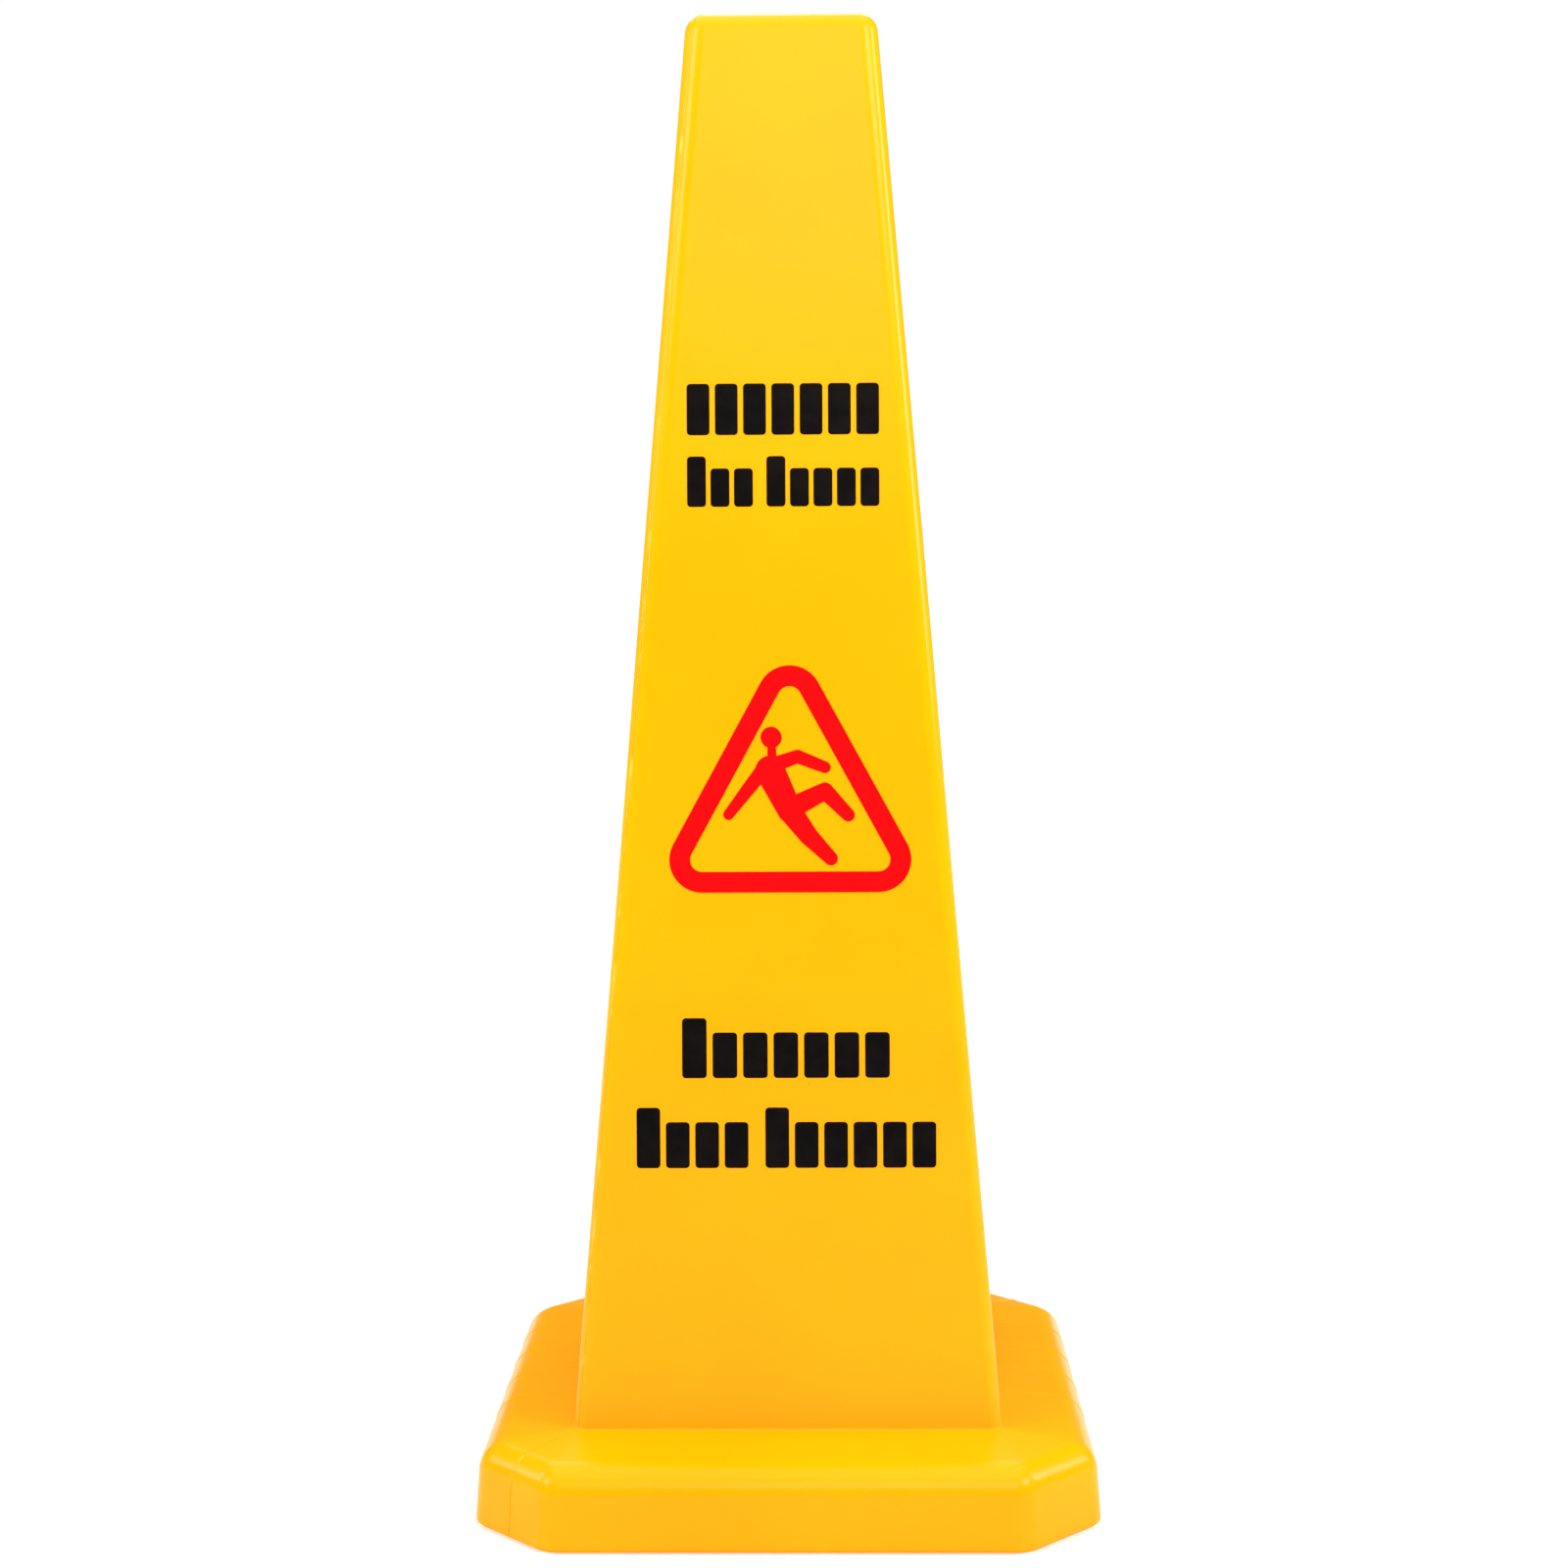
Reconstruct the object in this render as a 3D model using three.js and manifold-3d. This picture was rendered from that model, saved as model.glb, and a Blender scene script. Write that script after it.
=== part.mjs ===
// Four-sided wet floor sign: a hollow yellow plastic pyramid on a wide base with cut corners.
// The shell is one thin hollow moulding, closed underneath. Its underside is lifted off the floor
// inside a standing rim, and has a well with a threaded neck. Sand ballast is poured in through the
// neck, and a screw cap with a soft liner shuts it. All four faces carry the same printed marks.
//
// Units are millimetres, +Z is up, the origin is the centre of the standing face, and the front faces -Y.

import * as THREE from 'three';
import { LoftGeometry } from 'three/addons/geometries/LoftGeometry.js';
import { mergeVertices } from 'three/addons/utils/BufferGeometryUtils.js';
import Module from 'manifold-3d';

// ---- driving dimensions ----

const HEIGHT = 686; // 27 inches
const WALL = 2;
const FIT_GAP = 0.35; // between pieces that touch

const BASE_HALF = 143.2; // half the width of the base across its flats
const BASE_CHAMFER = 35; // how much each corner is cut back along both sides
const BASE_CORNER_R = 13;
const BASE_EDGE_R = 2.5; // lower outer edge
const SHOULDER_HALF = 141.6; // the side walls lean in to here
const SHOULDER_Z = 24;
const SHOULDER_R = 14;
const DECK_SLOPE = THREE.MathUtils.degToRad(6); // the deck rises from the shoulder to the pyramid's foot

const FOOT_HALF = 98.7;
const FOOT_Z = 40.3;
const FOOT_FILLET = 3;
const FOOT_CHAMFER = 3.9;
const FOOT_CORNER_R = 4.5;
const TOP_HALF = 43.8; // where the faces would meet the top
const TOP_CHAMFER = 5.7;
const TOP_CORNER_R = 9;
const TOP_EDGE_R = 8.5;

const RECESS_HALF = 117; // the underside is lifted off the floor inside this line
const RECESS_CHAMFER = 18;
const RECESS_R = 8;
const RECESS_Z = 3;
const RECESS_DRAFT = 1; // how much wider the recess is at its mouth

const WELL_R = 42;
const WELL_DRAFT = 2; // how much wider the well is at its mouth
const WELL_Z = 30;
const NECK_R = 18.5;
const NECK_BORE_R = 15.5;
const NECK_RIM_Z = 11;

const THREAD_PITCH = 5;
const THREAD_DEPTH = 2.1;
const THREAD_ROOT_W = 2.2;
const THREAD_CREST_W = 1;
const THREAD_SINK = 0.7; // how deep a ridge's foot is sunk into its wall
const THREAD_RUN_OUT = 1 / 6; // share of a turn over which a ridge rises and dies away
const NECK_THREAD_Z = 15;
const NECK_THREAD_TURNS = 2;
const CAP_THREAD_TURNS = 1.5;

const CAP_R = 24.3;
const CAP_RIB = 1.1;
const CAP_RIBS = 30;
const CAP_INNER_R = 21.3;
const CAP_PLATE = 2.5;
const CAP_Z = 6.2;
const CAP_TOP_Z = 27;
const LINER_R = 20.6;
const LINER_EDGE = 0.4;
const LINER_LAND = 1.5; // how far the sealing land reaches inside the neck's bore
const LINER_DISH = 0.5; // how much thinner the middle is

const SAND_Z = 15.5; // level of the ballast

const FILM = 0.4; // thickness of a printed mark
const FACES = ['front', 'right', 'back', 'left'];

// ---- materials ----

const plastic = (color, roughness) => new THREE.MeshStandardMaterial({ color, roughness, metalness: 0 });
const yellowPlastic = plastic(0xffc20e, 0.3);
const greyPlastic = plastic(0x4a4c4e, 0.45);
const softRubber = plastic(0x1d1d1e, 0.85);
const sand = plastic(0xc9ae7c, 0.95);
const blackInk = plastic(0x0c0a09, 0.45);
const redInk = plastic(0xe3100f, 0.4);

// ---- solids ----

const ROUND_SIDES = 60;
const RIDGE_STEPS = 32; // in a turn of a thread
const INK_STEPS = 5; // in an arc of a printed mark
const SAME_POINT = 1e-4;
const PAST = 1; // how far a cutter runs past the surface that it cuts

const wasm = await Module();
wasm.setup();

// Triangles with two corners at one point, as at the poles of a turned shape, are left out.
function solid(geometry) {
  const bare = new THREE.BufferGeometry();
  bare.setAttribute('position', geometry.attributes.position);
  if (geometry.index) bare.setIndex(geometry.index);
  const merged = mergeVertices(bare, SAME_POINT);
  const corners = merged.index.array;
  const kept = [];
  for (let i = 0; i < corners.length; i += 3) {
    const [a, b, c] = corners.slice(i, i + 3);
    if (a !== b && b !== c && c !== a) kept.push(a, b, c);
  }
  return new wasm.Manifold(new wasm.Mesh({
    numProp: 3,
    vertProperties: new Float32Array(merged.attributes.position.array),
    triVerts: new Uint32Array(kept),
  }));
}

function geometryOf(manifold) {
  const { vertProperties, triVerts } = manifold.getMesh();
  const geometry = new THREE.BufferGeometry();
  geometry.setAttribute('position', new THREE.BufferAttribute(vertProperties, 3));
  geometry.setIndex(new THREE.BufferAttribute(triVerts, 1));
  geometry.computeVertexNormals();
  return geometry;
}

function piece(name, manifold, material) {
  const mesh = new THREE.Mesh(geometryOf(manifold), material);
  mesh.name = name;
  return mesh;
}

const upright = (geometry) => geometry.rotateX(Math.PI / 2);

function cylinder(radius, z0, z1) {
  const geometry = upright(new THREE.CylinderGeometry(radius, radius, z1 - z0, ROUND_SIDES));
  return solid(geometry.translate(0, 0, (z0 + z1) / 2));
}

const turned = (profile) =>
  solid(upright(new THREE.LatheGeometry(profile.map(([r, z]) => new THREE.Vector2(r, z)), ROUND_SIDES)));

// ---- outlines of the shell ----

const { lerp } = THREE.MathUtils;
const CORNER_STEPS = 3; // in each eighth of a circle
const LEAST_R = 0.6;
const EDGE_STEPS = 2;
const SHOULDER_STEPS = 6;
const FILLET_STEPS = 3;
const TOP_STEPS = 5;
const CORNER_SHARE = 2 - Math.SQRT2; // a full quarter arc of radius r cuts a corner back by this times r
const EIGHTH = Math.PI / 4;

// A square with cut corners, counterclockwise from above. Each end of a cut is rounded by an eighth turn.
function outline(half, chamfer, radius, z) {
  const tangent = radius * Math.tan(EIGHTH / 2);
  const points = [];
  for (let corner = 0; corner < 4; corner++) {
    const arcs = [
      [half - radius, half - chamfer - tangent, 0],
      [half - chamfer - tangent, half - radius, EIGHTH],
    ];
    for (const [cx, cy, from] of arcs) {
      for (let i = 0; i <= CORNER_STEPS; i++) {
        const angle = from + (EIGHTH * i) / CORNER_STEPS;
        const point = new THREE.Vector3(cx + radius * Math.cos(angle), cy + radius * Math.sin(angle), z);
        points.push(point.applyAxisAngle(new THREE.Vector3(0, 0, 1), (corner * Math.PI) / 2));
      }
    }
  }
  return points;
}

const loft = (sections) => solid(new LoftGeometry(sections, { capStart: true, capEnd: true }));

const FACE_LEAN = Math.atan((FOOT_HALF - TOP_HALF) / (HEIGHT - FOOT_Z));
const faceHalf = (z) => FOOT_HALF - (z - FOOT_Z) * Math.tan(FACE_LEAN);

// Points of an arc in the (half width, height) plane of the shell's profile.
function profileArc(centreHalf, centreZ, radius, from, to, steps) {
  return Array.from({ length: steps + 1 }, (_, i) => {
    const angle = lerp(from, to, i / steps);
    return [centreHalf + radius * Math.cos(angle), centreZ + radius * Math.sin(angle)];
  });
}

// The shell's skin, moved inwards by inset, as a solid.
function skin(inset) {
  const shoulderEnd = Math.PI / 2 - DECK_SLOPE;
  const shoulderHalf = SHOULDER_HALF - SHOULDER_R;
  const deckHalf = shoulderHalf + SHOULDER_R * Math.cos(shoulderEnd);
  const deckZ = SHOULDER_Z + SHOULDER_R * Math.sin(shoulderEnd);

  // The fillet's centre lies FOOT_FILLET outside both the deck and the pyramid's face.
  const deckLine = deckZ + FOOT_FILLET / Math.cos(DECK_SLOPE) + deckHalf * Math.tan(DECK_SLOPE);
  const faceLine = FOOT_HALF + FOOT_FILLET / Math.cos(FACE_LEAN) + FOOT_Z * Math.tan(FACE_LEAN);
  const slopes = Math.tan(DECK_SLOPE) * Math.tan(FACE_LEAN);
  const filletHalf = (faceLine - deckLine * Math.tan(FACE_LEAN)) / (1 - slopes);
  const filletZ = deckLine - filletHalf * Math.tan(DECK_SLOPE);

  const filletStart = -Math.PI / 2 - DECK_SLOPE;
  const filletEnd = FACE_LEAN - Math.PI;

  const topTangentZ = HEIGHT - TOP_EDGE_R * (1 - Math.sin(FACE_LEAN));
  const topCentre = faceHalf(topTangentZ) - TOP_EDGE_R * Math.cos(FACE_LEAN);

  const base = [
    ...profileArc(BASE_HALF - BASE_EDGE_R, BASE_EDGE_R, BASE_EDGE_R - inset, -Math.PI / 2, 0, EDGE_STEPS),
    ...profileArc(shoulderHalf, SHOULDER_Z, SHOULDER_R - inset, 0, shoulderEnd, SHOULDER_STEPS),
    ...profileArc(filletHalf, filletZ, FOOT_FILLET + inset, filletStart, filletEnd, FILLET_STEPS),
  ];
  const baseSections = base.map(([half, z]) => {
    const share = THREE.MathUtils.clamp((half - FOOT_HALF) / (BASE_HALF - FOOT_HALF), 0, 1);
    const chamfer = FOOT_CHAMFER + share * (BASE_CHAMFER - FOOT_CHAMFER);
    return outline(half, chamfer, lerp(FOOT_CORNER_R, BASE_CORNER_R, share), z);
  });

  const topZ = HEIGHT - TOP_EDGE_R;
  const top = profileArc(topCentre, topZ, TOP_EDGE_R - inset, FACE_LEAN, Math.PI / 2, TOP_STEPS);
  const topSections = top.map(([half, z]) => {
    const drawnIn = topCentre + TOP_EDGE_R - half;
    const radius = Math.max(TOP_CORNER_R - drawnIn, LEAST_R);
    return outline(half, TOP_CHAMFER - drawnIn * CORNER_SHARE, radius, z);
  });

  return loft([...baseSections, ...topSections]);
}

// ---- underside ----

const recess = (grow) => loft([
  outline(RECESS_HALF + RECESS_DRAFT + grow, RECESS_CHAMFER, RECESS_R, -PAST),
  outline(RECESS_HALF + grow, RECESS_CHAMFER, RECESS_R, RECESS_Z + grow),
]);

const well = (grow) => turned([
  [0, -PAST],
  [WELL_R + WELL_DRAFT + grow, -PAST],
  [WELL_R + grow, WELL_Z + grow],
  [0, WELL_Z + grow],
]);

const LEAST_RIDGE = 0.12; // a ridge's height at its two ends, as a share of its full height

// A helical ridge, right-handed, tapering in and out. Its base is sunk into the wall that it stands on,
// at baseR, and its crest is at crestR, inside or outside the wall.
function threadRidge(baseR, crestR, z0, turns) {
  const steps = Math.round(turns * RIDGE_STEPS);
  const outward = Math.sign(crestR - baseR);
  const sections = [];
  for (let i = 0; i <= steps; i++) {
    const turn = (turns * i) / steps;
    const grown = Math.min(1, LEAST_RIDGE + Math.min(turn, turns - turn) / THREAD_RUN_OUT);
    const crest = baseR + (crestR - baseR) * grown;
    const z = z0 + THREAD_PITCH * turn;
    const corners = [
      [baseR - outward * THREAD_SINK, -THREAD_ROOT_W / 2],
      [crest, -THREAD_CREST_W / 2],
      [crest, THREAD_CREST_W / 2],
      [baseR - outward * THREAD_SINK, THREAD_ROOT_W / 2],
    ];
    if (outward > 0) corners.reverse(); // counterclockwise as seen along the ridge, from its end
    const angle = turn * 2 * Math.PI;
    const [across, along] = [Math.cos(angle), Math.sin(angle)];
    sections.push(corners.map(([r, dz]) => new THREE.Vector3(r * across, r * along, z + dz)));
  }
  return loft(sections);
}

// ---- the sub-parts ----

// The hollow inside the shell, moved inwards by gap.
const hollow = (gap) => skin(WALL + gap).subtract(recess(WALL + gap)).subtract(well(WALL + gap));

function signShell() {
  const neck = cylinder(NECK_R, NECK_RIM_Z, WELL_Z + WALL / 2)
    .add(threadRidge(NECK_R, NECK_R + THREAD_DEPTH, NECK_THREAD_Z, NECK_THREAD_TURNS));
  const bore = cylinder(NECK_BORE_R, NECK_RIM_Z - PAST, WELL_Z + WALL + PAST);
  const walls = skin(0).subtract(recess(0)).subtract(well(0)).subtract(hollow(0));
  return piece('sign_shell', walls.add(neck).subtract(bore), yellowPlastic);
}

function sandBallast() {
  return piece('sand_ballast', hollow(FIT_GAP).intersect(cylinder(BASE_HALF * 2, 0, SAND_Z)), sand);
}

const RIB_POINTS = 4; // two on each rib and two between ribs

function fillCap() {
  const points = Array.from({ length: CAP_RIBS * RIB_POINTS }, (_, i) => {
    const radius = i % RIB_POINTS < 2 ? CAP_R : CAP_R + CAP_RIB;
    const angle = (i / (CAP_RIBS * RIB_POINTS)) * 2 * Math.PI;
    return new THREE.Vector2(radius * Math.cos(angle), radius * Math.sin(angle));
  });
  const depth = CAP_TOP_Z - CAP_Z;
  const ribbed = new THREE.ExtrudeGeometry(new THREE.Shape(points), { depth, bevelEnabled: false });
  const inside = cylinder(CAP_INNER_R, CAP_Z + CAP_PLATE, CAP_TOP_Z + PAST);
  const threadZ = NECK_THREAD_Z + THREAD_PITCH / 2; // midway between two turns of the neck's thread
  const thread = threadRidge(CAP_INNER_R, CAP_INNER_R - THREAD_DEPTH, threadZ, CAP_THREAD_TURNS);
  return piece('fill_cap', solid(ribbed.translate(0, 0, CAP_Z)).subtract(inside).add(thread), greyPlastic);
}

// A disc whose middle is thinner, inside the neck's rim.
function capLiner() {
  const low = CAP_Z + CAP_PLATE + FIT_GAP;
  const high = NECK_RIM_Z - FIT_GAP;
  return piece('cap_liner', turned([
    [0, low],
    [LINER_R - LINER_EDGE, low],
    [LINER_R, low + LINER_EDGE],
    [LINER_R, high - LINER_EDGE],
    [LINER_R - LINER_EDGE, high],
    [NECK_BORE_R - LINER_LAND, high],
    [NECK_BORE_R - LINER_LAND - LINER_DISH, high - LINER_DISH],
    [0, high - LINER_DISH],
  ]), softRubber);
}

// ---- printed marks ----

// The convex outline round a ring of circles, given counterclockwise as [x, y, radius].
function roundTheCircles(circles, Path = THREE.Shape) {
  const normalTo = ([x0, y0, r0], [x1, y1, r1]) =>
    Math.atan2(y1 - y0, x1 - x0) - Math.PI / 2 + Math.asin((r0 - r1) / Math.hypot(x1 - x0, y1 - y0));
  const path = new Path();
  circles.forEach((circle, i) => {
    const [x, y, r] = circle;
    const before = circles[(i + circles.length - 1) % circles.length];
    const after = circles[(i + 1) % circles.length];
    path.absarc(x, y, r, normalTo(before, circle), normalTo(circle, after), false);
  });
  path.closePath();
  return path;
}

const film = (shape) =>
  solid(new THREE.ExtrudeGeometry(shape, { depth: FILM, bevelEnabled: false, curveSegments: INK_STEPS }));

// Lines of marks: distance of the line's middle up the face from the pyramid's foot, its width and height.
const LINES = {
  upper_line_1: [467.5, 87.6, 23.3],
  upper_line_2: [434.7, 87.6, 22.9],
  lower_line_1: [176.2, 94.9, 27.4],
  lower_line_2: [135.1, 137, 27.6],
};

const LINE_R = 2; // corner radius

function lineBar(width, height) {
  const [x, y, r] = [width / 2 - LINE_R, height / 2 - LINE_R, LINE_R];
  return film(roundTheCircles([[-x, -y, r], [x, -y, r], [x, y, r], [-x, y, r]]));
}

const SYMBOL_X = 2.4; // the symbol is printed a little to the right of the face's middle
const TRIANGLE_LOW = 247.3;
const TRIANGLE_HIGH = 350.9;
const TRIANGLE_HALF = 55.3;
const TRIANGLE_R = 15;
const TRIANGLE_BAND = 9.5;

function triangleBorder() {
  const corners = [
    [-TRIANGLE_HALF + TRIANGLE_R, TRIANGLE_LOW + TRIANGLE_R],
    [TRIANGLE_HALF - TRIANGLE_R, TRIANGLE_LOW + TRIANGLE_R],
    [0, TRIANGLE_HIGH - TRIANGLE_R],
  ];
  const withRadius = (radius) => corners.map(([x, y]) => [x, y, radius]);
  const shape = roundTheCircles(withRadius(TRIANGLE_R));
  shape.holes.push(roundTheCircles(withRadius(TRIANGLE_R - TRIANGLE_BAND), THREE.Path));
  return film(shape);
}

// A plain figure losing its footing, made of tapered limbs: [x0, y0, r0, x1, y1, r1] in the triangle.
const FIGURE = {
  head: [-8.5, 318.2, 4.8, -8.4, 318, 4.8],
  neck: [-8.4, 317.6, 1.9, -8, 307.6, 2.1],
  torso: [-9, 303, 6.8, 0, 284.6, 5.6],
  front_upper_arm: [-8, 305.4, 3.5, 3.5, 309.4, 3.1],
  front_forearm: [3.5, 309.4, 3.1, 16, 304.4, 2.7],
  rear_upper_arm: [-10.5, 305.4, 3.6, -19, 294.6, 3.1],
  rear_forearm: [-19, 294.6, 3.1, -28, 283, 2.5],
  raised_thigh: [0, 285.6, 5, 16, 293.6, 3.9],
  raised_shin: [16, 293.6, 3.9, 26.6, 282.6, 3],
  sliding_thigh: [0, 284.6, 5.4, 8.5, 273.1, 4.3],
  sliding_shin: [8.5, 273.1, 4.3, 18.6, 262.8, 3.2],
};

function slipFigure() {
  const limbs = Object.values(FIGURE).map(([x0, y0, r0, x1, y1, r1]) =>
    film(roundTheCircles([[x0, y0, r0], [x1, y1, r1]])));
  return limbs.reduce((whole, limb) => whole.add(limb));
}

// One face's marks, in a group that lies on the face: X across it, Y up it and Z out of it.
function faceMarks(side, index) {
  const plane = new THREE.Group();
  plane.position.set(0, -FOOT_HALF, FOOT_Z);
  plane.rotation.x = Math.PI / 2 - FACE_LEAN;
  for (const [name, [middle, width, height]] of Object.entries(LINES)) {
    const line = piece(`${side}_${name}`, lineBar(width, height), blackInk);
    line.position.y = middle;
    plane.add(line);
  }
  const symbol = [
    piece(`${side}_triangle_border`, triangleBorder(), redInk),
    piece(`${side}_slip_figure`, slipFigure(), redInk),
  ];
  for (const mark of symbol) mark.position.x = SYMBOL_X;
  plane.add(...symbol);
  for (const mark of plane.children) mark.position.z = FIT_GAP;
  const quarter = new THREE.Group();
  quarter.rotation.z = (index * Math.PI) / 2;
  quarter.add(plane);
  return quarter;
}

// ---- the assembly ----

const sign = new THREE.Group();
sign.add(signShell(), sandBallast(), capLiner(), fillCap());
FACES.forEach((side, index) => sign.add(faceMarks(side, index)));

export default sign;
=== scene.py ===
import math

import bpy
from mathutils import Matrix, Vector


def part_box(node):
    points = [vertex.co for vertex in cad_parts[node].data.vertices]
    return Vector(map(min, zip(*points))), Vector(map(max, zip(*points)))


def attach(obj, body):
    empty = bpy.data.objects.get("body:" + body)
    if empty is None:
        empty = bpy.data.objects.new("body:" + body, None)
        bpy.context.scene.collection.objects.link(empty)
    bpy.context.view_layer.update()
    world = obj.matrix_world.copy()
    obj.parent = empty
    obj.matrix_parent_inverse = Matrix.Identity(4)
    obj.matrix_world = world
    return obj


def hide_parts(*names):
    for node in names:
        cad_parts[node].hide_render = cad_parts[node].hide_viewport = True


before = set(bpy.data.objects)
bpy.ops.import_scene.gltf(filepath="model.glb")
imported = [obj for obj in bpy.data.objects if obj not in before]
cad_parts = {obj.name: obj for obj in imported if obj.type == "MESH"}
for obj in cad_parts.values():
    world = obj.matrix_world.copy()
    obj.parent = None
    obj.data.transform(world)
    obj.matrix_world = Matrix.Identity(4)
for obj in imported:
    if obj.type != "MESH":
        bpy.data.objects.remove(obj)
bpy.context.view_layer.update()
mm = 0.001
print("frame loaded")


# ---- camera, floor and light ----

camera = {
    "place": (20.6, -1287, 459.4),  # millimetres
    "lens": 61.41,  # on a 36 mm sensor
    "pitch": -5.8,  # degrees, below the horizon
    "heading": 0.985,
    "roll": -0.36,
}


def makeCamera():
    data = bpy.data.cameras.new("signCamera")
    data.sensor_width = 36
    data.lens = camera["lens"]
    made = bpy.data.objects.new("signCamera", data)
    bpy.context.scene.collection.objects.link(made)
    turn = Matrix.Rotation(math.radians(camera["heading"]), 4, "Z")
    tilt = Matrix.Rotation(math.radians(90 + camera["pitch"]), 4, "X")
    roll = Matrix.Rotation(math.radians(camera["roll"]), 4, "Z")
    made.matrix_world = Matrix.Translation(Vector(camera["place"]) * mm) @ turn @ tilt @ roll
    bpy.context.scene.camera = made


studio = {
    "backdrop": 1.03,  # what the camera sees behind the object
    "sky": 0.1,  # even light from the rest of the room
    "lamps": {  # place, width and height in metres, and power in watts
        "frontBox": ((0.25, -2.2, 1.6), 1.1, 1.1, 18),
        "leftBox": ((-1.7, -1.1, 1.5), 0.7, 0.7, 25),
        "rightBox": ((1.6, -1.2, 1.6), 0.7, 0.7, 30),
        "topBox": ((0.0, -0.3, 2.3), 2.4, 2.4, 40),
        "backBox": ((-0.2, 1.8, 2.3), 1.8, 1.4, 22),
        "leftEdge": ((-1.5, 0.0, 0.95), 0.3, 0.8, 11),
        "rightEdge": ((1.5, 0.0, 0.95), 0.3, 0.8, 13),
        "underBox": ((0.1, -0.3, -1.3), 0.5, 0.5, 12),
    },
    "aim": (0, 0, 0.45),
}


def makeStudio():
    bpy.context.scene.view_settings.view_transform = "Standard"
    world = bpy.data.worlds.new("studio")
    bpy.context.scene.world = world
    world.use_nodes = True
    sky = Wire(world.node_tree)
    ray = sky.node("ShaderNodeLightPath")
    strength = ray * studio["backdrop"] + (1 - ray) * studio["sky"]
    background = world.node_tree.nodes["Background"]
    background.inputs["Color"].default_value = (1, 1, 1, 1)
    world.node_tree.links.new(strength.socket, background.inputs["Strength"])
    for name, (place, width, height, power) in studio["lamps"].items():
        data = bpy.data.lights.new(name, "AREA")
        data.shape = "RECTANGLE"
        data.size = width
        data.size_y = height
        data.energy = power
        lamp = bpy.data.objects.new(name, data)
        bpy.context.scene.collection.objects.link(lamp)
        lamp.location = place
        lamp.rotation_euler = (Vector(studio["aim"]) - Vector(place)).to_track_quat("-Z", "Y").to_euler()
        lamp.visible_camera = False


# ---- modelling helpers ----


def deselectAll():
    if bpy.context.object and bpy.context.object.mode != "OBJECT":
        bpy.ops.object.mode_set(mode="OBJECT")
    bpy.ops.object.select_all(action="DESELECT")


def pick(obj):
    deselectAll()
    obj.select_set(True)
    bpy.context.view_layer.objects.active = obj


def startPiece(name):  # an empty mesh in edit mode, to which primitives are added
    deselectAll()
    obj = bpy.data.objects.new(name, bpy.data.meshes.new(name))
    bpy.context.scene.collection.objects.link(obj)
    pick(obj)
    bpy.ops.object.mode_set(mode="EDIT")
    bpy.ops.mesh.select_mode(type="VERT")
    return obj


def editPiece(obj, selectMode="VERT"):
    pick(obj)
    bpy.ops.object.mode_set(mode="EDIT")
    bpy.ops.mesh.select_mode(type=selectMode)
    bpy.ops.mesh.select_all(action="DESELECT")


def endEdit():
    bpy.ops.object.mode_set(mode="OBJECT")


def selectWhere(obj, kind, test):  # kind is "vertices", "edges" or "polygons"
    mode = {"vertices": "VERT", "edges": "EDGE", "polygons": "FACE"}[kind]
    editPiece(obj, mode)
    endEdit()
    for item in getattr(obj.data, kind):
        item.select = test(item)
    bpy.ops.object.mode_set(mode="EDIT")


def applyModifier(obj, kind, **settings):
    pick(obj)
    modifier = obj.modifiers.new(kind.title(), kind)
    for name, value in settings.items():
        setattr(modifier, name, value)
    bpy.ops.object.modifier_apply(modifier=modifier.name)


def combine(target, other, operation):
    applyModifier(target, "BOOLEAN", object=other, operation=operation, solver="EXACT")
    bpy.data.objects.remove(other)


def join(target, *others):
    pick(target)
    for other in others:
        other.select_set(True)
    bpy.ops.object.join()


def faceOutwards(obj):
    editPiece(obj)
    bpy.ops.mesh.select_all(action="SELECT")
    bpy.ops.mesh.remove_doubles(threshold=0.002 * mm)
    bpy.ops.mesh.normals_make_consistent(inside=False)
    endEdit()


def smooth(obj, degrees=40):
    pick(obj)
    bpy.ops.object.shade_smooth_by_angle(angle=math.radians(degrees))
    applyModifier(obj, "WEIGHTED_NORMAL", keep_sharp=True, weight=80)


def finishPiece(obj, body, node):
    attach(obj, body)
    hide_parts(node)
    print("made", obj.name, len(obj.data.polygons), "faces")


# ---- the shell ----

shellLow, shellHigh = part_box("sign_shell")
ease = 0.3  # millimetres that the skin lies inside the frame's box, so that its mould marks fit too
shell = {  # millimetres
    "height": shellHigh.z / mm - ease,
    "baseHalf": shellHigh.x / mm - ease,
    "baseCut": 35.0,
    "baseCorner": 13.0,
    "bottomEdge": 2.5,
    "shoulderHalf": 141.6 - ease,
    "shoulderHeight": 24.0,
    "shoulderRadius": 14.0,
    "deckSlope": math.radians(6),
    "footHalf": 98.7 - ease,
    "footHeight": 40.3,
    "footFillet": 1.3,
    "footCut": 3.9,
    "footCorner": 4.5,
    "topHalf": 43.8 - ease,
    "topCut": 5.7,
    "topCorner": 9.0,
    "topEdge": 8.5,
    "topSink": 0.7,
    "topDish": ((6.0, 1.0), (4.5, 0.93), (3.0, 0.6), (1.5, 0.15)),  # how far in, and share of topSink
    "wall": 2.0,
    "recessHalf": 117.0,
    "recessCut": 18.0,
    "recessCorner": 8.0,
    "recessHeight": 3.0,
    "recessEdge": (  # how far out, and how high, up to recessHeight
        (2.0, 0.02),
        (1.1, 0.35),
        (0.7, 1.0),
        (0.25, 2.2),
        (-0.2, 2.8),
        (-1.0, 3.0),
    ),
    "wellRadius": 42.0,
    "wellDraft": 2.0,
    "wellHeight": 30.0,
    "neckRadius": 18.5,
    "boreRadius": 15.5,
    "neckRim": 11.0,
}
cornerSteps = 12  # in each of the eight rounded corners of an outline
ringPoints = 8 * (cornerSteps + 1)
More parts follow.
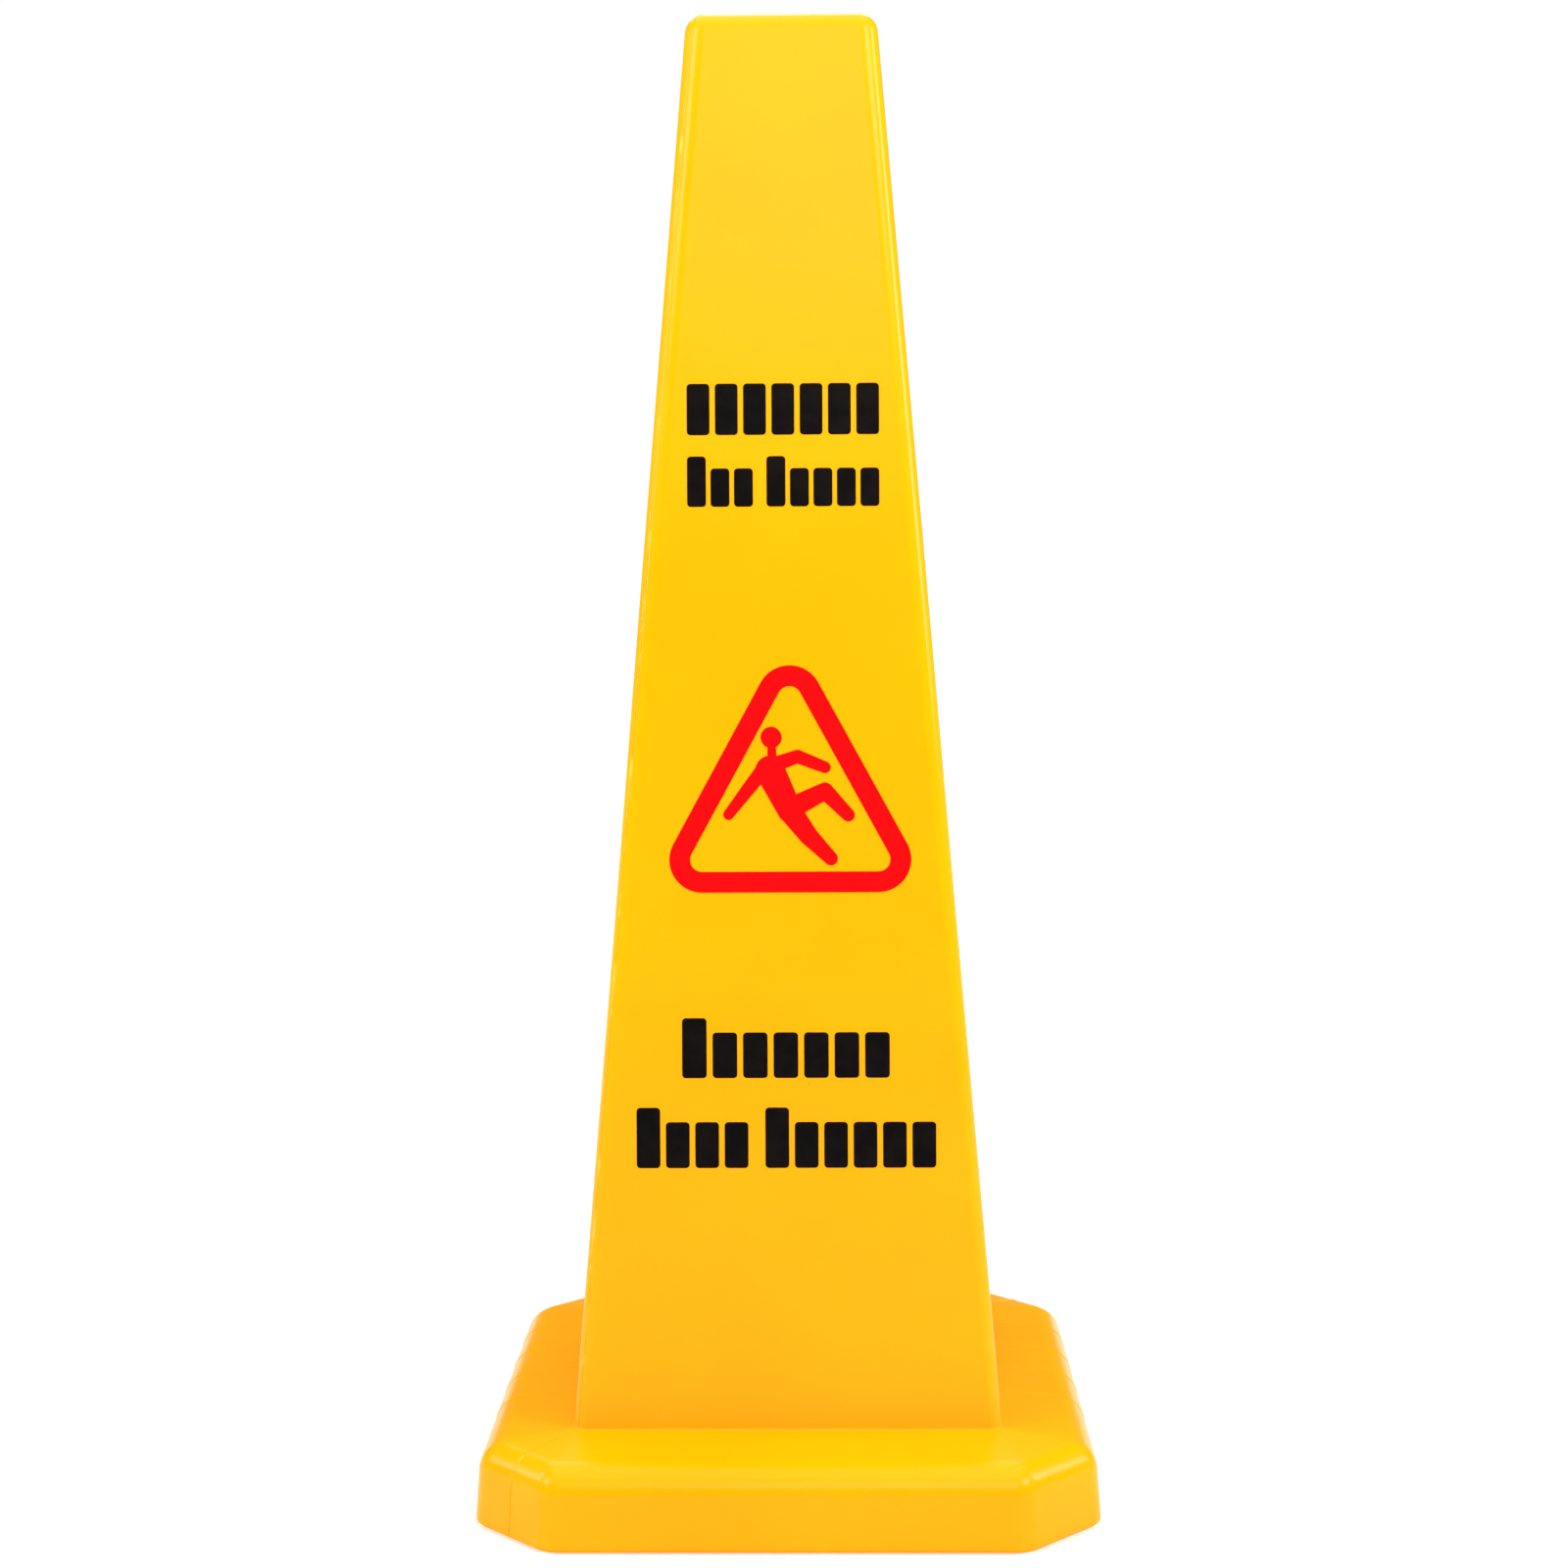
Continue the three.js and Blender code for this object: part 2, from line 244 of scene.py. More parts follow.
octagonShare = 2 - math.sqrt(2)
lean = math.atan((shell["footHalf"] - shell["topHalf"]) / (shell["height"] - shell["footHeight"]))


def arc(centre, radius, start, end, steps):  # (half, height) points round a centre
    turns = [start + (end - start) * i / steps for i in range(steps + 1)]
    return [(centre[0] + radius * math.cos(t), centre[1] + radius * math.sin(t)) for t in turns]


def squareRing(half, cut, corner, height):
    return {"half": half, "cut": cut, "corner": corner, "height": height}


def roundRing(radius, height):
    return {"radius": radius, "height": height}


def skinRings(inset):  # from the top down to the standing face, inset inwards
    s = shell
    slope, quarter = s["deckSlope"], math.pi / 2
    shoulder = (s["shoulderHalf"] - s["shoulderRadius"], s["shoulderHeight"])
    deck = arc(shoulder, s["shoulderRadius"], quarter - slope, quarter - slope, 1)[0]
    deckLine = deck[1] + s["footFillet"] / math.cos(slope) + deck[0] * math.tan(slope)
    faceLine = s["footHalf"] + s["footFillet"] / math.cos(lean) + s["footHeight"] * math.tan(lean)
    filletHalf = (faceLine - deckLine * math.tan(lean)) / (1 - math.tan(slope) * math.tan(lean))
    fillet = (filletHalf, deckLine - filletHalf * math.tan(slope))
    tangentHeight = s["height"] - s["topEdge"] * (1 - math.sin(lean))
    tangentHalf = s["footHalf"] - (tangentHeight - s["footHeight"]) * math.tan(lean)
    top = (tangentHalf - s["topEdge"] * math.cos(lean), s["height"] - s["topEdge"])
    bottom = (s["baseHalf"] - s["bottomEdge"], s["bottomEdge"])

    rings = []
    for half, height in arc(top, s["topEdge"] - inset, quarter, lean, 8):
        drawnIn = top[0] + s["topEdge"] - half
        corner = max(s["topCorner"] - drawnIn, 0.6)
        rings.append(squareRing(half, s["topCut"] - drawnIn * octagonShare, corner, height))
    lower = arc(fillet, s["footFillet"] + inset, lean - math.pi, -quarter - slope, 5)
    lower += arc(shoulder, s["shoulderRadius"] - inset, quarter - slope, 0, 12)
    lower += arc(bottom, s["bottomEdge"] - inset, 0, -quarter, 5)
    for half, height in lower:
        share = min(max((half - s["footHalf"]) / (s["baseHalf"] - s["footHalf"]), 0), 1)
        cut = s["footCut"] + share * (s["baseCut"] - s["footCut"])
        corner = s["footCorner"] + share * (s["baseCorner"] - s["footCorner"])
        rings.append(squareRing(half, cut, corner, height))
    return rings


def topRings():  # the top face, very slightly sunk inside its lip
    lip = skinRings(0)[0]
    return [
        squareRing(lip["half"] - back, 0.7, 0.5, lip["height"] - shell["topSink"] * drop)
        for back, drop in shell["topDish"]
    ]


def recessRings(grow):  # the lifted panel's edge, from the standing rim up to the panel
    s = shell
    rings = []
    for out, up in s["recessEdge"]:
        half, height = s["recessHalf"] + out + grow, up + grow
        rings.append(squareRing(half, s["recessCut"], s["recessCorner"], height))
    return rings


def wellRings():  # up the well, down the neck's outside, over its rim and up its bore
    s = shell
    mouth, top, floor = s["wellRadius"] + s["wellDraft"], s["wellHeight"], s["recessHeight"]
    rings = [roundRing(mouth + 1.4, floor + 0.05), roundRing(mouth + 0.4, floor + 0.4)]
    rings += [roundRing(mouth - 0.1, floor + 1.4)]
    rings += [roundRing(r, z) for r, z in arc((s["wellRadius"] - 3, top - 3), 3, 0, math.pi / 2, 5)]
    neck = s["neckRadius"]
    rings += [roundRing(r, z) for r, z in arc((neck + 2, top - 2.05), 2, math.pi / 2, math.pi, 4)]
    rim = s["neckRim"]
    rings += [roundRing(r, z) for r, z in arc((neck - 0.8, rim + 0.8), 0.8, 0, -math.pi / 2, 4)]
    bore = s["boreRadius"]
    rings += [roundRing(r, z) for r, z in arc((bore + 0.6, rim + 0.65), 0.6, -math.pi / 2, -math.pi, 3)]
    return rings


def insideRings():  # from the top of the bore over the well and out across the hollow's floor
    s = shell
    wall, top = s["wall"], s["wellHeight"] + s["wall"]
    rings = [roundRing(s["boreRadius"], top - 0.8), roundRing(s["boreRadius"] + 0.8, top)]
    rings += [roundRing(s["wellRadius"] + wall - 2, top - 0.05), roundRing(s["wellRadius"] + wall, top - 2)]
    foot = s["recessHeight"] + wall
    rings += [roundRing(s["wellRadius"] + s["wellDraft"] + wall, foot + 2)]
    rings += [roundRing(s["wellRadius"] + s["wellDraft"] + wall + 2, foot + 0.05)]
    return rings


def addRing(ring):
    bpy.ops.mesh.select_all(action="DESELECT")
    place = (0, 0, ring["height"] * mm)
    if "radius" in ring:
        bpy.ops.mesh.primitive_circle_add(vertices=ringPoints, radius=ring["radius"] * mm, location=place)
    else:
        tangent = ring["corner"] * math.tan(math.pi / 8)
        bpy.ops.mesh.primitive_plane_add(size=2 * ring["half"] * mm, location=place)
        for offset, segments in ((ring["cut"], 1), (tangent, cornerSteps)):
            bpy.ops.mesh.bevel(
                offset_type="OFFSET",
                offset=offset * mm,
                affect="VERTICES",
                segments=segments,
                clamp_overlap=False,
            )
    bpy.ops.object.vertex_group_add()
    bpy.ops.object.vertex_group_assign()
    if "radius" not in ring:
        bpy.ops.mesh.delete(type="ONLY_FACE")


def bridgeRings(name, rings, capped=False):
    obj = startPiece(name)
    for ring in rings:
        addRing(ring)

    def selectRings(*numbers):
        bpy.ops.mesh.select_all(action="DESELECT")
        for number in numbers:
            obj.vertex_groups.active_index = number
            bpy.ops.object.vertex_group_select()

    for number in range(len(rings) - 1):
        selectRings(number, number + 1)
        bpy.ops.mesh.bridge_edge_loops()
    if capped:
        for number in (0, len(rings) - 1):
            selectRings(number)
            bpy.ops.mesh.edge_face_add()
    bpy.ops.object.vertex_group_remove(all=True)
    endEdit()
    faceOutwards(obj)
    return obj


def makeBead(source, name, planes, radius):  # a round bead where a plane cuts a skin
    beads = []
    for point, normal, keepAbove, keepBelow in planes:
        pick(source)
        bpy.ops.object.duplicate()
        bead = bpy.context.object
        bead.name = name
        editPiece(bead)
        bpy.ops.mesh.select_all(action="SELECT")
        bpy.ops.mesh.bisect(plane_co=(0, 0, keepAbove * mm), plane_no=(0, 0, 1), clear_inner=True)
        bpy.ops.mesh.select_all(action="SELECT")
        bpy.ops.mesh.bisect(plane_co=(0, 0, keepBelow * mm), plane_no=(0, 0, 1), clear_outer=True)
        bpy.ops.mesh.select_all(action="SELECT")
        bpy.ops.mesh.bisect(plane_co=Vector(point) * mm, plane_no=normal)
        bpy.ops.mesh.select_all(action="INVERT")
        bpy.ops.mesh.delete(type="VERT")
        bpy.ops.mesh.select_all(action="SELECT")
        bpy.ops.mesh.remove_doubles(threshold=0.05 * mm)
        endEdit()
        bpy.ops.object.convert(target="CURVE")
        bead.data.bevel_depth = radius * mm
        bead.data.bevel_resolution = 2
        bead.data.use_fill_caps = True
        bpy.ops.object.convert(target="MESH")
        faceOutwards(bead)
        beads.append(bead)
    if len(beads) > 1:
        join(beads[0], *beads[1:])
    return beads[0]


mouldMarks = {  # millimetres: heights between which a mark runs, and its bead's radius
    "diagonal": (1, -1, 0),
    "parting": (1.2, 1000, 0.28),
    "pinch": (2.95, 1000, 0.45),
    "witness": (9.0, 40.9, 0.22),
    "witnessPlaces": (70, 33, -4, -41),
    "undersideRings": 9,  # from the standing rim as far as the well's mouth
}


def makeShell():
    outside = topRings() + skinRings(0)
    underside = recessRings(0) + wellRings()
    hollow = skinRings(shell["wall"])
    inside = insideRings() + recessRings(shell["wall"])[::-1] + hollow[::-1]
    obj = bridgeRings("shell", outside + underside + inside, capped=True)
    print("shell bridged")

    skin = bridgeRings("skin", outside)
    base = bridgeRings("underside", underside[:mouldMarks["undersideRings"]])

    def addMark(source, name, kind, planes):
        low, high, radius = mouldMarks[kind]
        return makeBead(source, name, [(point, normal, low, high) for point, normal in planes], radius)

    across = [((0, 0, 0), mouldMarks["diagonal"])]
    parting = addMark(skin, "partingLine", "parting", across)
    pinch = addMark(base, "pinchLine", "pinch", across)
    crossings = [((0, y, 0), (0, 1, 0)) for y in mouldMarks["witnessPlaces"]]
    witness = addMark(skin, "witnessLines", "witness", crossings)
    for source in (skin, base):
        bpy.data.objects.remove(source)
    neckThread = makeThread("neckThread", shell["neckRadius"], 1, thread["neckStart"], thread["neckTurns"])
    join(obj, parting, pinch, witness, neckThread)
    smooth(obj)
    return obj


# ---- threads ----

thread = {  # millimetres and turns
    "pitch": 5.0,
    "depth": 2.1,
    "rootWidth": 2.2,
    "crestWidth": 1.0,
    "sink": 0.7,
    "runOut": 0.2,
    "startSink": 0.3,  # how deep a ridge begins under its wall
    "risePower": 0.6,  # below 1 it rises quickly and then levels off
    "steps": 72,
    "neckStart": 15.0,
    "neckTurns": 2.0,
    "capTurns": 1.5,
}


def makeThread(name, wall, outward, start, turns):  # a right-handed ridge on the wall's radius
    crest = wall + outward * thread["depth"]
    root = wall - outward * thread["sink"]
    obj = startPiece(name)
    bpy.ops.mesh.primitive_plane_add(size=1 * mm, rotation=(math.pi / 2, 0, 0))
    endEdit()
    for vertex in obj.data.vertices:
        atCrest = (vertex.co.x > 0) == (outward > 0)
        width = thread["crestWidth"] if atCrest else thread["rootWidth"]
        height = start + math.copysign(width / 2, vertex.co.z)
        vertex.co = Vector((crest if atCrest else root, 0, height)) * mm
    steps = round(thread["steps"] * turns)
    applyModifier(
        obj,
        "SCREW",
        axis="Z",
        angle=math.tau * turns,
        screw_offset=thread["pitch"] * turns * mm,
        steps=steps,
        render_steps=steps,
    )
    for vertex in obj.data.vertices:  # the ridge rises out of the wall and dies away into it
        radius = math.hypot(vertex.co.x, vertex.co.y) / mm
        turn = (vertex.co.z / mm - start) / thread["pitch"]
        grown = min(1, max(0, min(turn, turns - turn)) / thread["runOut"])
        if abs(radius - crest) < 0.01:
            lowest = wall - outward * thread["startSink"]
            lowered = lowest + (crest - lowest) * grown ** thread["risePower"]
            vertex.co.xy = vertex.co.xy * (lowered / radius)
    editPiece(obj)
    bpy.ops.mesh.select_all(action="SELECT")
    bpy.ops.mesh.fill_holes(sides=4)
    endEdit()
    faceOutwards(obj)
    return obj


# ---- the screw cap and its liner ----

capLow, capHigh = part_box("fill_cap")
cap = {  # millimetres
    "low": capLow.z / mm,
    "high": capHigh.z / mm,
    "radius": 24.3,
    "ribs": 30,
    "ribHeight": 1.1,
    "ribLow": 8.4,
    "ribHigh": 25.8,
    "innerRadius": 21.3,
    "plate": 2.5,
    "dishEdge": 2.6,
    "dishSlope": 0.8,
    "dishDepth": 0.5,
    "softEdge": 0.28,
}


def makeCap():
    obj = startPiece("cap")
    depth = cap["high"] - cap["low"]
    middle = (0, 0, (cap["high"] + cap["low"]) / 2 * mm)
    facets = cap["ribs"] * 4  # two faces for a rib and two for a groove
    bpy.ops.mesh.primitive_cylinder_add(
        vertices=facets, radius=cap["radius"] * mm, depth=depth * mm, location=middle
    )
    for height in (cap["ribLow"], cap["ribHigh"]):
        bpy.ops.mesh.select_all(action="SELECT")
        bpy.ops.mesh.bisect(plane_co=(0, 0, height * mm), plane_no=(0, 0, 1))

    selectWhere(obj, "polygons", lambda face: face.normal.z > 0.9)
    bpy.ops.mesh.inset(thickness=(cap["radius"] - cap["innerRadius"]) * mm)
    down = (0, 0, (cap["plate"] - depth) * mm)
    bpy.ops.mesh.extrude_region_move(TRANSFORM_OT_translate={"value": down})

    def onRib(face):
        between = cap["ribLow"] < face.center.z / mm < cap["ribHigh"]
        outer = math.hypot(face.center.x, face.center.y) / mm > cap["innerRadius"] + 1
        number = math.floor(math.atan2(face.center.y, face.center.x) / math.tau * facets)
        return between and outer and number % 4 < 2 and abs(face.normal.z) < 0.1

    selectWhere(obj, "polygons", onRib)
    bpy.ops.mesh.extrude_region_shrink_fatten(
        TRANSFORM_OT_shrink_fatten={"value": cap["ribHeight"] * mm}
    )
    selectWhere(obj, "polygons", lambda face: face.normal.z < -0.9 and face.center.z < middle[2] / 2)
    bpy.ops.mesh.inset(thickness=cap["dishEdge"] * mm)
    bpy.ops.mesh.inset(thickness=cap["dishSlope"] * mm, depth=-cap["dishDepth"] * mm)
    endEdit()
    applyModifier(
        obj,
        "BEVEL",
        width=cap["softEdge"] * mm,
        segments=2,
        limit_method="ANGLE",
        angle_limit=math.radians(35),
    )
    start = thread["neckStart"] + thread["pitch"] / 2
    join(obj, makeThread("capThread", cap["innerRadius"], -1, start, thread["capTurns"]))
    smooth(obj)
    return obj


linerLow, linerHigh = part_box("cap_liner")
liner = {  # millimetres
    "radius": 20.5,
    "land": 14.0,
    "dishSlope": 0.6,
    "dish": 0.5,
    "softEdge": 0.3,
}


def makeLiner():
    obj = startPiece("liner")
    depth = linerHigh.z - linerLow.z
    bpy.ops.mesh.primitive_cylinder_add(
        vertices=96,
        radius=liner["radius"] * mm,
        depth=depth,
        location=(0, 0, (linerLow.z + linerHigh.z) / 2),
    )
    selectWhere(obj, "polygons", lambda face: face.normal.z > 0.9)
    bpy.ops.mesh.inset(thickness=(liner["radius"] - liner["land"]) * mm)
    bpy.ops.mesh.inset(thickness=liner["dishSlope"] * mm, depth=-liner["dish"] * mm)
    endEdit()
    applyModifier(
        obj,
        "BEVEL",
        width=liner["softEdge"] * mm,
        segments=3,
        limit_method="ANGLE",
        angle_limit=math.radians(35),
    )
    smooth(obj)
    return obj


# ---- printed marks ----

ink = {"thickness": 0.12, "offFace": 0.03, "blockCorner": 1.7, "gap": 0.24}  # gap is a share of a block
sides = ["front", "right", "back", "left"]

# Each line's words as the heights of their blocks, where 1 is as tall as the line.
lineWords = {
    "upper_line_1": [[1, 1, 1, 1, 1, 1, 1]],
    "upper_line_2": [[1, 0.76, 0.76], [1, 0.76, 0.76, 0.76, 0.76]],
    "lower_line_1": [[1, 0.76, 0.76, 0.76, 0.76, 0.76, 0.76]],
    "lower_line_2": [[1, 0.76, 0.76, 0.76], [1, 0.76, 0.76, 0.76, 0.76, 0.76]],
}

triangle = {"corner": 15.0, "band": 9.5}

# The slipping figure's tapered limbs: x, height up the face and radius at both ends, in millimetres.
figure = {
    "head": (-8.5, 318.2, 4.8, -8.4, 318, 4.8),
    "neck": (-8.4, 317.6, 1.9, -8, 307.6, 2.1),
    "torso": (-9, 303, 6.8, 0, 284.6, 5.6),
    "frontUpperArm": (-8, 305.4, 3.5, 3.5, 309.4, 3.1),
    "frontForearm": (3.5, 309.4, 3.1, 16, 304.4, 2.7),
    "rearUpperArm": (-10.5, 305.4, 3.6, -19, 294.6, 3.1),
    "rearForearm": (-19, 294.6, 3.1, -28, 283, 2.5),
    "raisedThigh": (0, 285.6, 5, 16, 293.6, 3.9),
    "raisedShin": (16, 293.6, 3.9, 26.6, 282.6, 3),
    "slidingThigh": (0, 284.6, 5.4, 8.5, 273.1, 4.3),
    "slidingShin": (8.5, 273.1, 4.3, 18.6, 262.8, 3.2),
}


def facePlace(side):  # the matrix that lays a flat mark on a face: x across it, y up it, z out of it
    turn = Matrix.Rotation(sides.index(side) * math.pi / 2, 4, "Z")
    foot = Matrix.Translation(Vector((0, -shell["footHalf"], shell["footHeight"])) * mm)
    return turn @ foot @ Matrix.Rotation(math.pi / 2 - lean, 4, "X")


def upFace(height):  # from a height in metres to millimetres up the face from the pyramid's foot
    return (height / mm - shell["footHeight"]) / math.cos(lean)


def inkHeight():
    return (ink["offFace"] + ink["thickness"] / 2) * mm


def makeLine(name):
    low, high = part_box(f"front_{name}")
    width, height = (high.x - low.x) / mm, (high.z - low.z) / mm / math.cos(lean)
    bottom = upFace(low.z)
    words = lineWords[name]
    gapCount = sum(len(word) - 1 for word in words) + 3 * (len(words) - 1)
    blockCount = sum(len(word) for word in words)
    block = width / (blockCount + gapCount * ink["gap"])
    obj = startPiece(f"front_{name}_blocks")
    left = -width / 2
    for word in words:
        for tall in word:
            bpy.ops.mesh.primitive_cube_add(
                size=1,
                location=((left + block / 2) * mm, (bottom + tall * height / 2) * mm, inkHeight()),
                scale=(block * mm, tall * height * mm, ink["thickness"] * mm),
            )
            left += block * (1 + ink["gap"])
        left += block * 2 * ink["gap"]
    endEdit()

    def standing(edge):
        a, b = (obj.data.vertices[v].co for v in edge.vertices)
        return (a - b).xy.length < 0.001 * mm

    selectWhere(obj, "edges", standing)
    bpy.ops.mesh.bevel(offset=ink["blockCorner"] * mm, segments=6)
    endEdit()
    return obj


def makeHull(name, circles):  # a flat plate that wraps round the given circles
    obj = startPiece(name)
    for x, y, radius in circles:
        bpy.ops.mesh.primitive_cylinder_add(
            vertices=48,
            radius=radius * mm,
            depth=ink["thickness"] * mm,
            location=(x * mm, y * mm, inkHeight()),
        )
    bpy.ops.mesh.select_all(action="SELECT")
    bpy.ops.mesh.convex_hull()
    bpy.ops.mesh.dissolve_limited(angle_limit=math.radians(0.5))
    endEdit()
    return obj


def symbolMiddle():
    low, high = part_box("front_triangle_border")
    return (low.x + high.x) / 2 / mm


def makeTriangle():
    low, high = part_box("front_triangle_border")
    corner = triangle["corner"]
    half = (high.x - low.x) / 2 / mm - corner
    bottom, top = upFace(low.z) + corner, upFace(high.z) - corner
    middle = symbolMiddle()
    corners = ((middle - half, bottom), (middle + half, bottom), (middle, top))
    obj = makeHull("front_triangle", [(x, y, corner) for x, y in corners])
    hole = makeHull("hole", [(x, y, corner - triangle["band"]) for x, y in corners])
    pick(hole)
    hole.scale.z = 3
    hole.location.z = -2 * inkHeight()
    bpy.ops.object.transform_apply(location=True, rotation=True, scale=True)
    combine(obj, hole, "DIFFERENCE")
    return obj


def makeFigure():
    middle = symbolMiddle()
    limbs = []
    for name, (x, y, radius, endX, endY, endRadius) in figure.items():
        ends = [(middle + x, y, radius), (middle + endX, endY, endRadius)]
        limbs.append(makeHull(name, ends))
    obj = limbs[0]
    obj.name = "front_figure"
    for limb in limbs[1:]:
        combine(obj, limb, "UNION")
    return obj


def makeMarks():  # made lying flat, then one copy laid on each face
    flat = {name: (makeLine(name), "blackInk") for name in lineWords}
    flat["triangle_border"] = (makeTriangle(), "redInk")
    flat["slip_figure"] = (makeFigure(), "redInk")
    marks = []
    for node, (original, material) in flat.items():
        for side in sides:
            pick(original)
            bpy.ops.object.duplicate()
            mark = bpy.context.object
            mark.name = original.name.replace("front", side, 1).split(".")[0]
            mark.name = mark.name if side != "front" else f"front_{node}_print"
            mark.matrix_world = facePlace(side)
            bpy.ops.object.transform_apply(location=True, rotation=True, scale=True)
            marks.append((mark, side, node, material))
        bpy.data.objects.remove(original)
    return marks


# ---- shader building ----


class Wire:  # wraps one socket of a node tree, so that sums on it add Math nodes
    def __init__(self, tree, socket=None):
        self.tree = tree
        self.socket = socket

    def node(self, kind, settings=None, inputs=None, output=0):
        made = self.tree.nodes.new(kind)
        for name, value in (settings or {}).items():
            setattr(made, name, value)
        for name, value in (inputs or {}).items():
            if isinstance(value, Wire):
                self.tree.links.new(value.socket, made.inputs[name])
            else:
                made.inputs[name].default_value = value
        return Wire(self.tree, made.outputs[output])

    def maths(self, operation, *values):
        return self.node("ShaderNodeMath", {"operation": operation}, dict(enumerate(values)))

    def __add__(self, other):
        return self.maths("ADD", self, other)

    def __radd__(self, other):
        return self.maths("ADD", other, self)

    def __sub__(self, other):
        return self.maths("SUBTRACT", self, other)

    def __rsub__(self, other):
        return self.maths("SUBTRACT", other, self)

    def __mul__(self, other):
        return self.maths("MULTIPLY", self, other)

    def __rmul__(self, other):
        return self.maths("MULTIPLY", other, self)

    def __abs__(self):
        return self.maths("ABSOLUTE", self)

    def between(self, low, high):  # 0 at low and 1 at high, smoothly
        inputs = {"Value": self, "From Min": low, "From Max": high}
        return self.node("ShaderNodeMapRange", {"interpolation_type": "SMOOTHSTEP"}, inputs)

    def blend(self, first, second):  # a colour, by this factor
        return self.node("ShaderNodeMix", {"data_type": "RGBA"}, {0: self, 6: first, 7: second}, 2)

    def noise(self, place, scale, detail=2):
        inputs = {"Vector": place, "Scale": scale, "Detail": detail}
        return self.node("ShaderNodeTexNoise", {"noise_dimensions": "3D"}, inputs)


def startMaterial(name):
    material = bpy.data.materials.new(name)
    material.use_nodes = True
    tree = material.node_tree
    wire = Wire(tree)
    place = wire.node("ShaderNodeTexCoord", output=3)
    return material, wire, place


def finishMaterial(wire, colour, roughness, bump=None, bumpDepth=0.0, **constants):
    principled = wire.tree.nodes["Principled BSDF"]
    for name, value in (("Base Color", colour), ("Roughness", roughness)):
        if isinstance(value, Wire):
            wire.tree.links.new(value.socket, principled.inputs[name])
        else:
            principled.inputs[name].default_value = value
    for name, value in constants.items():
        principled.inputs[name.replace("_", " ")].default_value = value
    if bump is not None:
        inputs = {"Height": bump, "Distance": bumpDepth, "Strength": 1.0}
        normal = wire.node("ShaderNodeBump", inputs=inputs)
        wire.tree.links.new(normal.socket, principled.inputs["Normal"])


def axes(wire, place):  # x and y
    split = wire.node("ShaderNodeSeparateXYZ", inputs={"Vector": place})
    outputs = split.socket.node.outputs
    return [Wire(wire.tree, outputs[number]) for number in range(2)]


# ---- materials ----

yellow = {
    "deep": (0.9, 0.325, 0.0004, 1),
    "bright": (0.92, 0.352, 0.0007, 1),
    "worn": (0.97, 0.62, 0.10, 1),
    "speck": (0.45, 0.17, 0.01, 1),
    "cloudScale": 7,
    "grainScale": 420,
    "waveScale": 38,
    "roughness": 0.17,
    "bump": 0.00012,  # metres
    "specular": 0.09,
}


def yellowPlastic():
    material, wire, place = startMaterial("yellow moulded plastic")
    x, y = axes(wire, place)
    cloud = wire.noise(place, yellow["cloudScale"], 3)
    grain = wire.noise(place, yellow["grainScale"])
    waves = wire.noise(place, yellow["waveScale"])
    colour = cloud.between(0.3, 0.7).blend(yellow["deep"], yellow["bright"])
    seam = 1 - abs(x - y).between(0.4 * mm, 1.6 * mm)
    patches = wire.noise(place, 60, 4).between(0.5, 0.68)
    trimmed = seam * patches * 0.55  # where flash was pared off the parting line
    colour = trimmed.blend(colour, yellow["worn"])
    cells = wire.node("ShaderNodeTexVoronoi", {"feature": "F1"}, {"Vector": place, "Scale": 95.0})
    chance = Wire(wire.tree, cells.socket.node.outputs["Color"])
    chance = wire.node("ShaderNodeSeparateColor", inputs={"Color": chance})
    speck = (1 - cells.between(0.02, 0.06)) * chance.between(0.955, 0.965)
    colour = (speck * 0.8).blend(colour, yellow["speck"])
    roughness = yellow["roughness"] + 0.05 * cloud + 0.04 * grain + 0.15 * trimmed
    bump = grain * 0.35 + waves
    finishMaterial(wire, colour, roughness, bump, yellow["bump"], Specular_IOR_Level=yellow["specular"])
    return material


greyPlastic = {
    "dark": (0.062, 0.066, 0.070, 1),
    "light": (0.078, 0.082, 0.087, 1),
    "rubbed": (0.15, 0.15, 0.155, 1),
}
rubber = {"dark": (0.010, 0.010, 0.011, 1), "light": (0.02, 0.02, 0.022, 1)}
sand = {
    "dark": (0.33, 0.23, 0.12, 1),
    "light": (0.72, 0.58, 0.36, 1),
    "damp": (0.28, 0.2, 0.11, 1),
    "grainScale": 900.0,
}
inkColours = {  # where it is thin and where it is full
    "black": ((0.004, 0.0025, 0.002, 1), (0.0015, 0.001, 0.001, 1)),
    "red": ((0.80, 0.001, 0.002, 1), (0.86, 0.0005, 0.0015, 1)),
}


def capPlastic():
    material, wire, place = startMaterial("grey cap plastic")
    cloud = wire.noise(place, 40, 3)
    grain = wire.noise(place, 1500, 2)
    colour = cloud.between(0.3, 0.7).blend(greyPlastic["dark"], greyPlastic["light"])
    rub = wire.noise(place, 300, 4).between(0.62, 0.75) * 0.25
    colour = rub.blend(colour, greyPlastic["rubbed"])
    finishMaterial(wire, colour, 0.42 + 0.12 * grain, grain, 0.00006)
    return material


def linerRubber():
    material, wire, place = startMaterial("soft liner rubber")
    grain = wire.noise(place, 900, 3)
    colour = grain.between(0.35, 0.65).blend(rubber["dark"], rubber["light"])
    finishMaterial(wire, colour, 0.75 + 0.15 * grain, grain, 0.00005)
    return material


